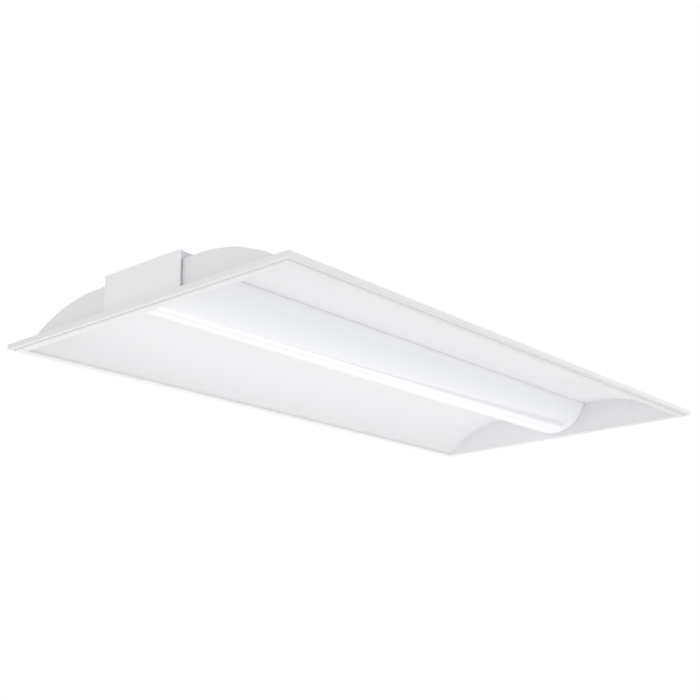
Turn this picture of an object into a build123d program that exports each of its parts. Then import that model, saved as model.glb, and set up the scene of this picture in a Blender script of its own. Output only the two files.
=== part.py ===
from build123d import *
import os
from math import asin, atan2, cos, degrees, pi, sin, sqrt, tan

# Recessed troffer light. X runs along the length, Y across, Z up. The origin is at the centre
# of the underside, in the plane of the flange's inner band. Near is -X, far is +X, left is +Y.

# ---- Driving dimensions, in millimetres ----

# Flange round the edge
fixture_length = 1212.8
fixture_width = 603.2
flange_width = 21.5  # outer face of the lip to the riser
band_width = 7.4  # raised outer band, which rests on the ceiling grid
band_step = 2.4  # height of the outer band over the inner one
lip_height = 8.4  # upturned edge, over the outer band
sheet = 0.8  # white painted steel
bend = 0.8  # inside radius of a bend
bend_share = 0.48  # of a leg that one bend may take
paint_gap = 0.05  # between curved sheets that lie on each other

# Arched reflectors
arch_peak_y = 111.0
arch_peak_z = 61.1
riser_height = 3.5  # upright edge between the flange and the arch
riser_blend = 2.0  # radius between the riser and the arch
land_edge = 77.0  # half the slot that the lens hangs in
ledge_width = 11.0  # flange at the top of the slot, which the channel is screwed to
tab_length = 12.0  # end plate tabs folded over the arch
tab_width = 26.0
tab_inner_margin = 21.0  # first tab's middle, from the arch's peak
tab_outer_margin = 42.7  # last tab's middle, from the riser
tab_count = 3

# Driver channel along the back
channel_margin = 4.2  # slot's edge to the channel's outer face
channel_height = 13.05  # top of the channel, over the arch's peak
channel_sheet = 0.8
foot_width = 16.0
end_depth = 6.2  # end bracket, over the end plate
cover_sheet = 0.8
cover_return = 2.0
cover_foot = 2.8  # lower edge of the end cover

# Lens
lens_radius = 80.0
lens_depth = 53.0  # lowest line of the lens, under the arch peak
lens_sheet = 2.0
lens_gap = 1.8  # between the lens and the slot's edge
lens_end_gap = 1.0
lens_upstand = 5.0  # straight edge above the arch peak
cap_inset = 2.0
cap_sheet = 2.0
cap_tray_gap = 3.0
glue_gap = 0.05
pivot_inset = 5.2  # pivot axis, in from the lens's outer face
pivot_drop = 2.0  # pivot axis, under the arch peak
pivot_radius = 1.6
pivot_length = 8.8
stud_inset = 7.2
stud_length = 6.0
catch_sheet = 0.6
catch_width = 4.5
catch_gap = 0.25
catch_reach = 1.8  # catch leg below the stud's axis
running_gap = 0.05

# Lamp tray and boards
tray_sheet = 0.8
tray_side_gap = 0.1  # tray's edge to the bend of the ledge
tray_flat_half = 24.0
tray_wing_foot = 6.0  # of each wing, under the tray's floor
tray_floor_gap = 0.7  # floor's edge to the bend of the wing's foot
tray_shelf_inner = 50.0
board_width = 20.0
board_sheet = 1.2
board_end_gap = 13.5
board_joint = 8.0
chip_side = 3.0
chip_height = 0.7
chips_per_board = 36

# Driver and wiring
driver_length = 300.0
driver_width = 38.0
driver_height = 23.0
driver_distance = 130.0  # from the access opening
driver_headroom = 3.0
driver_round = 1.5
driver_tab = 16.0
driver_tab_width = 24.0
driver_tab_sheet = 1.2
driver_screw_reach = 9.6  # from the can's end
terminal_depth = 8.0
terminal_width = 28.0
terminal_height = 12.0
terminal_lift = 6.0
lead_radius = 1.0
lamp_lead_radius = 0.8
lead_pitch = 7.0
connector_length = 20.0
connector_width = 9.0
connector_height = 13.0
connector_pitch = 14.0
connector_distance = 62.0
ground_screw_distance = 24.0  # from the connectors
feed_length = 10.0
feed_width = 6.6
feed_height = 4.0
feed_offset = 6.0
bushing_length = 22.0
bushing_width = 12.0
bushing_wall = 1.4
bushing_lip = 1.2
bushing_distance = 52.0  # driver's far end to the bushing's middle
bushing_y = 13.0
lamp_lead_starts = (9.0, 5.0)  # distance from the middle at the driver: red, black
lamp_lead_drops = (15.0, 11.0)  # the same at the bushing
lamp_lead_spacing = 6.0  # between the two drops, along X
lamp_lead_sag = 6.0  # under the tray
lamp_lead_rises = (8.4, 4.8)  # from the feed connector, where each lead turns level
lamp_lead_slope = 3.0
lamp_lead_ends = (-1.5, 1.5)  # along the flank, from the feed connector's middle
lamp_lead_corner = 1.8

# Access cover on the channel
opening_distance = 249.5  # from the near end plate
opening_length = 140.0
opening_half = 45.0
cover_overlap = 11.0
cover_plate = 0.8
cover_screw_overlap = 16.0
knuckle_radius = 2.2
hinge_pin_radius = 1.2
knuckle_gap = 0.3
knuckle_count = 5
leaf_width = 16.0
screw_hole_gap = 0.6
conduit_radius = 11.1
conduit_distance = 70.0  # access opening to the conduit holes
conduit_spacing = 44.0
plug_lip = 2.0
plug_sheet = 1.0
hanger_radius = 3.2
hanger_inset = 34.5  # from the end plates
hanger_y = 45.0

# Fasteners
head_height = 2.2
screw_head_radius = 4.0
screw_radius = 2.0
screw_length = 5.5
cover_screw_length = 2.9  # stays clear of the leads under the cover
channel_screw_inset = 59.5  # from the end plates
channel_screw_count = 4
rivet_radius = 1.6
rivet_head_radius = 3.0
rivet_head = 1.4
rivet_tail_radius = 2.4
rivet_tail = 1.2
tray_rivet_inset = 159.5  # from the end plates
tray_rivet_count = 4

# Grid clips
clip_end_distance = 149.5  # pivot, from the end plates
clip_riser_distance = 69.7  # where the bracket touches the arch, from the riser
clip_foot_half = 9.0
clip_bracket_width = 24.0
clip_bracket_reach = 30.0
clip_sheet = 1.2
clip_arm = 82.0
clip_arm_width = 14.0
clip_tip = 3.0
clip_pivot_edge = 9.0  # pivot axis, in from the bracket's outer edge
clip_pivot_radius = 2.5
clip_head_radius = 4.5
clip_head = 1.5
clip_gap = 0.1

# ---- Worked out from them ----


def spaced(reach, count):
    """Evenly spaced places from one end to the other, that far each side of the middle."""
    return [reach * (2 * n / (count - 1) - 1) for n in range(count)]


half_length = fixture_length / 2
half_width = fixture_width / 2
web_x = half_length - flange_width  # inner face of an end plate
web_outer_x = web_x + sheet
riser_y = half_width - flange_width
lip_top = band_step + lip_height
arch_span = riser_y - arch_peak_y
arch_drop = arch_peak_z - riser_height
arch_radius = (arch_span**2 + arch_drop**2) / (2 * arch_drop)
arch_centre_z = arch_peak_z - arch_radius
land_back_z = arch_peak_z + sheet
blend_y = riser_y - riser_blend
blend_z = arch_centre_z + sqrt((arch_radius - riser_blend) ** 2 - (blend_y - arch_peak_y) ** 2)
blend_angle = atan2(blend_z - arch_centre_z, blend_y - arch_peak_y)
channel_half = land_edge + channel_margin
channel_top = arch_peak_z + channel_height
channel_under = channel_top - channel_sheet
channel_inner = channel_half - channel_sheet
ledge_z = channel_under - sheet
ledge_screw_y = land_edge - ledge_width / 2
channel_screw_positions = spaced(web_x - channel_screw_inset, channel_screw_count)
tray_rivet_positions = spaced(web_x - tray_rivet_inset, tray_rivet_count)
hanger_x = web_x - hanger_inset
tab_first = arch_peak_y + tab_inner_margin
tab_spacing = (riser_y - tab_outer_margin - tab_first) / (tab_count - 1)
web_foot_z = min(sheet + bend, bend_share * blend_z)

lens_centre_z = arch_peak_z - lens_depth + lens_radius
lens_half = land_edge - lens_gap
lens_top = arch_peak_z + lens_upstand
lens_end = web_x - lens_end_gap
cap_outer = lens_end - cap_inset
cap_inner = cap_outer - cap_sheet
pivot_y = lens_half - pivot_inset
pivot_z = arch_peak_z - pivot_drop
stud_y = lens_half - stud_inset

shelf_z = ledge_z - tray_sheet
tray_flat_z = channel_under - driver_headroom - driver_height - tray_sheet
tray_floor = tray_flat_z + tray_sheet
wing_foot_z = tray_flat_z - tray_sheet
tray_side = land_edge - bend - tray_side_gap
flank_angle = atan2(shelf_z - wing_foot_z, tray_shelf_inner - tray_flat_half)
tray_floor_half = tray_flat_half - (bend + tray_sheet) * tan(flank_angle / 2) - tray_floor_gap
flank_y = (tray_flat_half + tray_shelf_inner) / 2
flank_z = (wing_foot_z + shelf_z) / 2
board_end = web_x - board_end_gap
board_length = board_end - board_joint / 2

opening_near = opening_distance - web_x
opening_far = opening_near + opening_length
driver_start = opening_far + driver_distance
driver_end = driver_start + driver_length
terminal_z = tray_floor + terminal_lift
lead_z = terminal_z + terminal_height / 2
driver_screw_positions = (driver_start - driver_screw_reach, driver_end + driver_screw_reach)
bushing_x = driver_end + bushing_distance
feed_x = bushing_x + bushing_length / 2 + feed_length
connector_near = driver_start - terminal_depth - connector_distance - connector_length
ground_screw_x = connector_near - ground_screw_distance

hinge_x = opening_near - cover_overlap
cover_far = opening_far + cover_screw_overlap
cover_half = opening_half + cover_overlap
cover_screw_x = opening_far + cover_screw_overlap / 2
cover_z = channel_top + paint_gap
hinge_z = cover_z + knuckle_radius
conduit_x = opening_near - conduit_distance

clip_x = web_x - clip_end_distance
clip_seat_y = riser_y - clip_riser_distance
clip_tilt = asin((clip_seat_y - arch_peak_y) / (arch_radius + sheet))


# ---- Helpers ----


def line_moved(points, distance):
    """The same bent line, moved to the right of its own direction."""
    ways = [(Vector(*b) - Vector(*a)).normalized() for a, b in zip(points, points[1:])]
    rights = [Vector(way.Y, -way.X) for way in ways]
    moved = []
    for n, point in enumerate(points):
        before = rights[max(n - 1, 0)]
        after = rights[min(n, len(rights) - 1)]
        step = (before + after) / (1 + before.dot(after)) * distance
        moved.append((point[0] + step.X, point[1] + step.Y))
    return moved


def bend_radii(points, thickness, inside):
    """Radii at the corners of both skins, limited by the legs beside each corner."""
    skin = []
    back = []
    for a, b, c in zip(points, points[1:], points[2:]):
        before = Vector(*b) - Vector(*a)
        after = Vector(*c) - Vector(*b)
        turn = abs(before.get_signed_angle(after))
        room = bend_share * min(before.length, after.length) / tan(turn * pi / 360)
        outer = min(inside + thickness, room)
        inner = max(outer - thickness, 0)
        turns_left = before.X * after.Y - before.Y * after.X > 0
        skin.append(inner if turns_left else outer)
        back.append(outer if turns_left else inner)
    return skin, back


def bent_line(points, radii):
    """Straight legs with a radius at each corner."""
    if len(points) == 2:
        return [Line(*points)]
    return FilletPolyline(*points, radius=radii).edges()


def strip(points, thickness, inside=bend):
    """Section of a bent sheet, with its skin on the given line and its thickness to the right."""
    skin_radii, back_radii = bend_radii(points, thickness, inside)
    back = line_moved(points, thickness)
    ends = [Line(points[0], back[0]), Line(points[-1], back[-1])]
    return make_face([bent_line(points, skin_radii), bent_line(back, back_radii), ends])


def along_x(section, start, end):
    """A section in Y and Z, drawn out along X."""
    return Pos(start, 0, 0) * extrude(Plane.YZ * section, amount=end - start)


def along_y(section, start, end):
    """A section in X and Z, drawn out along Y."""
    return Pos(0, start, 0) * extrude(Plane.XZ * section, amount=end - start, dir=(0, 1, 0))


def upright(section, start, end):
    """A plan in X and Y, drawn out along Z."""
    return Pos(0, 0, start) * extrude(section, amount=end - start)


def block(x, y, z):
    """A box between the given pairs of limits."""
    middle = [(a + b) / 2 for a, b in (x, y, z)]
    return Pos(*middle) * Box(x[1] - x[0], y[1] - y[0], z[1] - z[0])


def rod(radius, start, end):
    """A round bar from one point to another."""
    way = Vector(*end) - Vector(*start)
    bar = Cylinder(radius, way.length, align=(Align.CENTER, Align.CENTER, Align.MIN))
    return Plane(start, z_dir=way) * bar


def other_side(piece):
    """The same piece on the right."""
    return mirror(piece, about=Plane.XZ)


def other_end(piece):
    """The same piece at the near end."""
    return mirror(piece, about=Plane.YZ)


def all_corners(piece):
    """The piece at both sides and both ends."""
    pair = [piece, other_side(piece)]
    return pair + [other_end(one) for one in pair]


def tube(points, radius, corner):
    """A lead that follows the points, with the same radius at every corner."""
    path = Wire(FilletPolyline(*points, radius=corner).edges())
    return sweep(Plane(path @ 0, z_dir=path % 0) * Circle(radius), path=path)


def on_flank(along, out):
    """A point of the tray's flank in Y and Z: along it, and out from its lower face."""
    y = flank_y + along * cos(flank_angle) + out * sin(flank_angle)
    z = flank_z + along * sin(flank_angle) - out * cos(flank_angle)
    return y, z


# ---- Housing ----


def flange_points(edge):
    """Lip, outer band, step and inner band, from an edge that far from the middle."""
    return [
        (edge, lip_top),
        (edge, band_step),
        (edge - band_width, band_step),
        (edge - band_width, 0),
        (edge - flange_width, 0),
    ]


def arch_arcs(depth):
    """Blend and arch of the reflector, that deep in the sheet."""
    blend = CenterArc((blend_y, blend_z), riser_blend + depth, 0, degrees(blend_angle))
    sweep_angle = 90 - degrees(blend_angle)
    arch = CenterArc((arch_peak_y, arch_centre_z), arch_radius + depth, degrees(blend_angle), sweep_angle)
    return [blend, arch]


def panel_section():
    """Section of a side panel from its lip to the ledge under the channel."""
    outer = flange_points(half_width) + [(riser_y, blend_z)]
    inner = [
        (arch_peak_y, arch_peak_z),
        (land_edge, arch_peak_z),
        (land_edge, ledge_z),
        (land_edge - ledge_width, ledge_z),
    ]
    edges = []
    for points in (outer, inner):
        skin_radii, back_radii = bend_radii(points, sheet, bend)
        edges += bent_line(points, skin_radii)
        edges += bent_line(line_moved(points, sheet), back_radii)
    edges += arch_arcs(0) + arch_arcs(sheet)
    edges.append(Line(outer[0], line_moved(outer, sheet)[0]))
    edges.append(Line(inner[-1], line_moved(inner, sheet)[-1]))
    return make_face(edges)


def side_plan():
    """Plan that a side panel stays inside: mitred flange, square ends between the end plates."""
    return make_face(
        Polyline(
            (half_length, half_width),
            (-half_length, half_width),
            (-web_x, riser_y),
            (-web_x, 0),
            (web_x, 0),
            (web_x, riser_y),
            close=True,
        )
    )


def end_plan():
    """Plan that the far end plate stays inside."""
    return make_face(
        Polyline(
            (half_length, half_width),
            (web_x, riser_y),
            (web_x, -riser_y),
            (half_length, -half_width),
            close=True,
        )
    )


def side_panel():
    """Left side panel."""
    panel = along_x(panel_section(), -half_length, half_length)
    panel &= upright(side_plan(), 0, channel_top)
    for x in channel_screw_positions:
        place = (x, ledge_screw_y)
        panel -= rod(screw_radius + running_gap, (*place, ledge_z), (*place, channel_top))
    for x in tray_rivet_positions:
        place = (x, ledge_screw_y)
        panel -= rod(rivet_radius + running_gap, (*place, ledge_z), (*place, channel_top))
    return panel


def web_outline():
    """Upright web of an end plate, which closes the arches and the channel."""
    outer_y = riser_y + sheet
    edges = [
        Line((0, web_foot_z), (outer_y, web_foot_z)),
        Line((outer_y, web_foot_z), (outer_y, blend_z)),
        *arch_arcs(sheet),
        Line((arch_peak_y, land_back_z), (channel_half, land_back_z)),
        Line((channel_half, land_back_z), (channel_half, channel_top)),
        Line((channel_half, channel_top), (0, channel_top)),
        Line((0, channel_top), (0, web_foot_z)),
    ]
    half = make_face(edges)
    return half + mirror(half, about=Plane.YZ)


def ring_sector(inner, outer, middle_y, width):
    """Part of a ring about the arch's axis, centred at that distance from the middle."""
    angle = 90 - degrees(asin((middle_y - arch_peak_y) / inner))
    spread = degrees(width / inner)
    sector = make_face(
        [
            CenterArc((0, 0), inner, angle - spread / 2, spread),
            CenterArc((0, 0), outer, angle - spread / 2, spread),
            PolarLine(PolarLine((0, 0), inner, angle - spread / 2) @ 1, outer - inner, angle - spread / 2),
            PolarLine(PolarLine((0, 0), inner, angle + spread / 2) @ 1, outer - inner, angle + spread / 2),
        ]
    )
    return Pos(arch_peak_y, arch_centre_z) * sector


def end_plate():
    """Far end plate, with tabs folded over the arches and a hole for the lens pivot."""
    foot = flange_points(half_length) + [(web_x, blend_z)]
    plate = along_y(strip(foot, sheet), -half_width, half_width)
    plate += along_x(web_outline(), web_x, web_outer_x)
    plate &= upright(end_plan(), 0, channel_top)
    tab_inner = arch_radius + sheet + paint_gap
    for n in range(tab_count):
        middle = tab_first + n * tab_spacing
        fold = ring_sector(tab_inner, tab_inner + sheet, middle, tab_width)
        root = ring_sector(arch_radius, tab_inner + sheet, middle, tab_width)
        tab = along_x(fold, web_x - tab_length, web_outer_x) + along_x(root, web_x, web_outer_x)
        plate += tab
        plate += other_side(tab)
    plate -= rod(pivot_radius + running_gap, (web_x, pivot_y, pivot_z), (web_outer_x, pivot_y, pivot_z))
    return plate


# ---- Driver channel and its ends ----


def driver_channel():
    """Galvanised top-hat channel on the lands of both panels."""
    foot_y = channel_half + foot_width
    section = strip(
        [
            (foot_y, land_back_z),
            (channel_inner, land_back_z),
            (channel_inner, channel_under),
            (-channel_inner, channel_under),
            (-channel_inner, land_back_z),
            (-foot_y, land_back_z),
        ],
        channel_sheet,
    )
    channel = along_x(section, -web_x, web_x)
    through = (channel_under, channel_top)
    channel -= block((opening_near, opening_far), (-opening_half, opening_half), through)
    for side in (-1, 1):
        for x in channel_screw_positions:
            place = (x, side * ledge_screw_y)
            channel -= rod(screw_radius + screw_hole_gap, (*place, through[0]), (*place, through[1]))
        for x in tray_rivet_positions:
            place = (x, side * ledge_screw_y)
            channel -= rod(rivet_radius + running_gap, (*place, through[0]), (*place, through[1]))
        for x in (-hanger_x, hanger_x):
            place = (x, side * hanger_y)
            channel -= rod(hanger_radius, (*place, through[0]), (*place, through[1]))
        place = (conduit_x, side * conduit_spacing / 2)
        channel -= rod(conduit_radius, (*place, through[0]), (*place, through[1]))
    place = (cover_screw_x, 0)
    channel -= rod(screw_radius + screw_hole_gap, (*place, through[0]), (*place, through[1]))
    return channel


def end_bracket():
    """Galvanised pan that carries the end cover, open towards the end plate."""
    front = web_outer_x + end_depth
    low = cover_foot + cover_sheet
    pan = block((web_outer_x, front), (-channel_half, channel_half), (low, channel_top))
    hollow_y = channel_half - channel_sheet
    pan -= block(
        (web_outer_x, front - channel_sheet), (-hollow_y, hollow_y), (low + channel_sheet, channel_under)
    )
    return pan


def end_cover():
    """White end cover, with short returns round the bracket."""
    back = web_outer_x + end_depth
    front = back + cover_sheet
    inner_y = channel_half + paint_gap
    outer_y = inner_y + cover_sheet
    top = channel_top + paint_gap
    edge = front - cover_return - cover_sheet
    cover = block((edge, front), (-outer_y, outer_y), (cover_foot, top + cover_sheet))
    cover = fillet(cover.edges().filter_by(Axis.X), bend + cover_sheet)
    cover = fillet(cover.faces().sort_by(Axis.X)[-1].edges(), cover_sheet)
    cover -= block((edge, back), (-inner_y, inner_y), (cover_foot + cover_sheet, top))
    return cover


# ---- Lens ----


def lens_skin(depth):
    """Outer line of the lens, that deep in its wall."""
    y = lens_half - depth
    radius = lens_radius - depth
    angle = degrees(asin(y / radius))
    arc = CenterArc((0, lens_centre_z), radius, 270 - angle, 2 * angle)
    z = lens_centre_z - radius * cos(asin(y / radius))
    return arc, y, z


def lens_inside(depth):
    """Face inside the lens, up to its top edge."""
    arc, y, z = lens_skin(depth)
    right = Line((-y, z), (-y, lens_top))
    left = Line((y, z), (y, lens_top))
    return make_face([arc, right, left, Line((-y, lens_top), (y, lens_top))])


def lens():
    """Round opal trough with an upright edge each side."""
    return along_x(lens_inside(0) - lens_inside(lens_sheet), -lens_end, lens_end)


def lens_end_cap():
    """Closes the far end of the lens, clear of the lamp tray."""
    drop = cap_tray_gap
    shadow = make_face(
        Polyline(
            (-tray_shelf_inner - 2 * drop, lens_top + drop),
            (-tray_flat_half - drop, wing_foot_z - drop),
            (tray_flat_half + drop, wing_foot_z - drop),
            (tray_shelf_inner + 2 * drop, lens_top + drop),
            close=True,
        )
    )
    cap = along_x(lens_inside(lens_sheet + glue_gap) - shadow, cap_inner, cap_outer)
    return cap - rod(pivot_radius, (cap_inner, pivot_y, pivot_z), (cap_outer, pivot_y, pivot_z))


def lens_pivot_pins():
    """Pins that the lens swings on, one in each end plate."""
    pin = rod(pivot_radius, (cap_inner, pivot_y, pivot_z), (cap_inner + pivot_length, pivot_y, pivot_z))
    return [pin, other_end(pin)]


def lens_catch_studs():
    """Studs on the free side of the lens, which snap into the catches."""
    stud = rod(pivot_radius, (cap_inner - stud_length, -stud_y, pivot_z), (cap_inner, -stud_y, pivot_z))
    return [stud, other_end(stud)]


def lens_catches():
    """Spring catches under the tray's shelf, open downwards."""
    inner = pivot_radius + catch_gap
    top = shelf_z - catch_sheet
    low = pivot_z - catch_reach
    section = strip(
        [(inner - stud_y, low), (inner - stud_y, top), (-inner - stud_y, top), (-inner - stud_y, low)],
        catch_sheet,
    )
    middle = cap_inner - stud_length / 2
    catch = along_x(section, middle - catch_width / 2, middle + catch_width / 2)
    return [catch, other_end(catch)]


# ---- Lamp tray ----


def bushing_opening():
    """The left lead hole, through the tray's floor and the foot under it."""
    return block(
        (bushing_x - bushing_length / 2, bushing_x + bushing_length / 2),
        (bushing_y - bushing_width / 2, bushing_y + bushing_width / 2),
        (wing_foot_z, tray_floor),
    )


def led_tray():
    """Flat floor that carries the driver and lies on the feet of both wings."""
    through = (tray_flat_z, tray_floor)
    tray = block((-web_x, web_x), (-tray_floor_half, tray_floor_half), through)
    tray -= bushing_opening()
    tray -= other_side(bushing_opening())
    holes = [(x, 0) for x in driver_screw_positions] + [(ground_screw_x, -connector_pitch)]
    for place in holes:
        tray -= rod(screw_radius + running_gap, (*place, through[0]), (*place, through[1]))
    return tray


def tray_wing():
    """Left side of the tray: a shelf under the ledge, the flank that carries the boards, and a foot."""
    path = [
        (tray_side, shelf_z),
        (tray_shelf_inner, shelf_z),
        (tray_flat_half, wing_foot_z),
        (tray_flat_half - tray_wing_foot, wing_foot_z),
    ]
    wing = along_x(strip(path, tray_sheet), -web_x, web_x) - bushing_opening()
    for positions, radius in ((tray_rivet_positions, rivet_radius), (channel_screw_positions, screw_radius)):
        for x in positions:
            place = (x, ledge_screw_y)
            wing -= rod(radius + running_gap, (*place, shelf_z), (*place, ledge_z))
    return wing


def on_board(x, along, size, lift=0.0):
    """A block on the left flank: middle along X and along the flank, size, and lift off the tray."""
    y, z = on_flank(along, lift + size[2] / 2)
    return Pos(x, y, z) * Rot(degrees(flank_angle), 0, 0) * Box(*size)


def led_board(end):
    """One lamp board on the left flank, at that end."""
    return on_board(end * (board_joint / 2 + board_length / 2), 0, (board_length, board_width, board_sheet))


def led_chips():
    """Rows of chips on both left boards."""
    pitch = board_length / chips_per_board
    places = [board_joint / 2 + pitch * (n + 0.5) for n in range(chips_per_board)]
    size = (chip_side, chip_side, chip_height)
    return [on_board(end * x, 0, size, board_sheet) for end in (-1, 1) for x in places]


def board_connectors():
    """Feed connector and bridge between the boards, on each row."""
    feed = on_board(feed_x, -feed_offset, (feed_length, feed_width, feed_height), board_sheet)
    bridge = on_board(0, -feed_offset, (board_joint + feed_length, feed_width, feed_height), board_sheet)
    return [feed, bridge, other_side(feed), other_side(bridge)]


# ---- Driver and wiring ----


def driver():
    """Driver can with a fixing tab at each end."""
    can = block(
        (driver_start, driver_end),
        (-driver_width / 2, driver_width / 2),
        (tray_floor, tray_floor + driver_height),
    )
    can = fillet(can.edges(), driver_round)
    can += block(
        (driver_start - driver_tab, driver_end + driver_tab),
        (-driver_tab_width / 2, driver_tab_width / 2),
        (tray_floor, tray_floor + driver_tab_sheet),
    )
    for x in driver_screw_positions:
        can -= rod(screw_radius + running_gap, (x, 0, tray_floor), (x, 0, tray_floor + driver_tab_sheet))
    return can


def driver_terminals():
    """Terminal blocks on the driver's ends, with a hole for each lead."""
    y = (-terminal_width / 2, terminal_width / 2)
    z = (terminal_z, terminal_z + terminal_height)
    supply = block((driver_start - terminal_depth, driver_start), y, z)
    for side in (-1, 0, 1):
        mouth = (driver_start - terminal_depth, side * lead_pitch, lead_z)
        supply -= rod(lead_radius + running_gap, mouth, (driver_start - terminal_depth / 2, *mouth[1:]))
    lamps = block((driver_end, driver_end + terminal_depth), y, z)
    for y_start in lamp_lead_starts:
        for side in (-1, 1):
            mouth = (driver_end + terminal_depth, side * y_start, lead_z)
            seat = (driver_end + terminal_depth / 2, *mouth[1:])
            lamps -= rod(lamp_lead_radius + running_gap, mouth, seat)
    return [supply, lamps]


def supply_lead(place):
    """Lead from the driver to its push-in connector: 1 line, 0 neutral, -1 ground."""
    start_x = driver_start - terminal_depth / 2
    end_x = connector_near + connector_length
    start_y = place * lead_pitch
    end_y = place * connector_pitch
    end_z = tray_floor + connector_height / 2
    run = (start_x - end_x) / 3
    points = [
        (start_x, start_y, lead_z),
        (start_x - run, start_y, lead_z),
        (end_x + run, end_y, end_z),
        (end_x, end_y, end_z),
    ]
    return tube(points, lead_radius, run / 2)


def wire_connectors():
    """Three push-in connectors on the tray's floor."""
    found = []
    for place in (-1, 0, 1):
        y = place * connector_pitch
        body = block(
            (connector_near, connector_near + connector_length),
            (y - connector_width / 2, y + connector_width / 2),
            (tray_floor, tray_floor + connector_height),
        )
        found.append(fillet(body.edges().filter_by(Axis.X), driver_round))
    return found


def ground_screw():
    """Screw with a ring under it, in the tray's floor."""
    place = (ground_screw_x, -connector_pitch)
    ring_top = tray_floor + driver_tab_sheet
    shank = rod(screw_radius, (*place, ring_top - screw_length / 2), (*place, ring_top))
    head = rod(screw_head_radius, (*place, tray_floor), (*place, ring_top + head_height))
    return shank + head


def ground_pigtail():
    """Short lead from the ground connector to the ground screw."""
    end_x = ground_screw_x + screw_head_radius
    run = (connector_near - end_x) / 3
    low = tray_floor + lead_radius + paint_gap
    high = tray_floor + connector_height / 2
    points = [
        (connector_near, -connector_pitch, high),
        (connector_near - run, -connector_pitch, high),
        (end_x + run, -connector_pitch, low),
        (end_x, -connector_pitch, low),
    ]
    return tube(points, lead_radius, run / 2)


def lamp_lead(which):
    """Lead from the driver through the bushing to the left feed connector: 0 red, 1 black."""
    start_x = driver_end + terminal_depth / 2
    drop_x = bushing_x + (which - 0.5) * lamp_lead_spacing
    drop_y = lamp_lead_drops[which]
    low = tray_flat_z - lamp_lead_sag
    end_y, end_z = on_flank(lamp_lead_ends[which] - feed_offset, board_sheet + feed_height / 2)
    end_x = feed_x - feed_length / 2
    rise_x = end_x - lamp_lead_rises[which]
    points = [
        (start_x, lamp_lead_starts[which], lead_z),
        (start_x + 2 * terminal_depth, lamp_lead_starts[which], lead_z),
        (start_x + 4 * terminal_depth, drop_y, lead_z),
        (drop_x, drop_y, lead_z),
        (drop_x, drop_y, low),
        (rise_x - lamp_lead_slope, end_y, low),
        (rise_x, end_y, end_z),
        (end_x, end_y, end_z),
    ]
    return tube(points, lamp_lead_radius, lamp_lead_corner)


def lead_bushings():
    """Plastic frames in the tray's two lead holes."""
    x = (bushing_x - bushing_length / 2 + paint_gap, bushing_x + bushing_length / 2 - paint_gap)
    y = (bushing_y - bushing_width / 2 + paint_gap, bushing_y + bushing_width / 2 - paint_gap)
    z = (tray_flat_z - bushing_lip, tray_floor + bushing_lip)
    rim_x = (x[0] - bushing_lip, x[1] + bushing_lip)
    rim_y = (y[0] - bushing_lip, y[1] + bushing_lip)
    hole_x = (x[0] + bushing_wall, x[1] - bushing_wall)
    hole_y = (y[0] + bushing_wall, y[1] - bushing_wall)
    bushing = block(x, y, z) + block(rim_x, rim_y, (tray_floor, z[1])) - block(hole_x, hole_y, z)
    return [bushing, other_side(bushing)]


# ---- Access cover ----


def knuckles(first):
    """Every second knuckle of the cover's hinge, from that one on."""
    pitch = 2 * cover_half / knuckle_count
    places = [-cover_half + n * pitch for n in range(first, knuckle_count, 2)]
    return [(y + knuckle_gap / 2, y + pitch - knuckle_gap / 2) for y in places]


def hinge_part(own, others, plate_x, bore):
    """Plate with knuckles along one edge, notched where the other part's knuckles are."""
    part = block(plate_x, (-cover_half, cover_half), (cover_z, cover_z + cover_plate))
    notch = knuckle_radius + knuckle_gap
    for y in others:
        wide = (y[0] - knuckle_gap, y[1] + knuckle_gap)
        part -= block((hinge_x - notch, hinge_x + notch), wide, (cover_z, cover_z + cover_plate))
    for y in own:
        part += rod(knuckle_radius, (hinge_x, y[0], hinge_z), (hinge_x, y[1], hinge_z))
    return part - rod(bore, (hinge_x, -cover_half, hinge_z), (hinge_x, cover_half, hinge_z))


def access_cover():
    """Hinged cover over the wiring space, with a screw hole at its free edge."""
    cover = hinge_part(knuckles(1), knuckles(0), (hinge_x, cover_far), hinge_pin_radius + running_gap)
    place = (cover_screw_x, 0)
    hole = rod(screw_radius + running_gap, (*place, cover_z), (*place, cover_z + cover_plate))
    return cover - hole


def cover_hinge_leaf():
    """Fixed half of the cover's hinge."""
    return hinge_part(knuckles(0), knuckles(1), (hinge_x - leaf_width, hinge_x), hinge_pin_radius)


def cover_hinge_pin():
    """Pin through all the knuckles."""
    return rod(hinge_pin_radius, (hinge_x, -cover_half, hinge_z), (hinge_x, cover_half, hinge_z))


def screw(x, y, seat, length=screw_length):
    """Screw with a round washer head on a seat at that height."""
    piece = rod(screw_radius, (x, y, seat - length), (x, y, seat))
    piece += rod(screw_head_radius, (x, y, seat), (x, y, seat + head_height))
    return piece


def channel_screws():
    """Screws through the channel and the ledges into the tray."""
    rows = (-ledge_screw_y, ledge_screw_y)
    return [screw(x, y, channel_top) for y in rows for x in channel_screw_positions]


def driver_screws():
    """Screws through the driver's tabs into the tray."""
    return [screw(x, 0, tray_floor + driver_tab_sheet) for x in driver_screw_positions]


def tray_rivets():
    """Rivets through the tray's shelves, the panels' ledges and the channel."""
    found = []
    for side in (-1, 1):
        for x in tray_rivet_positions:
            place = (x, side * ledge_screw_y)
            rivet = rod(rivet_radius, (*place, shelf_z), (*place, channel_top))
            rivet += rod(rivet_head_radius, (*place, shelf_z - rivet_head), (*place, shelf_z))
            rivet += rod(rivet_tail_radius, (*place, channel_top), (*place, channel_top + rivet_tail))
            found.append(rivet)
    return found


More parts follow.
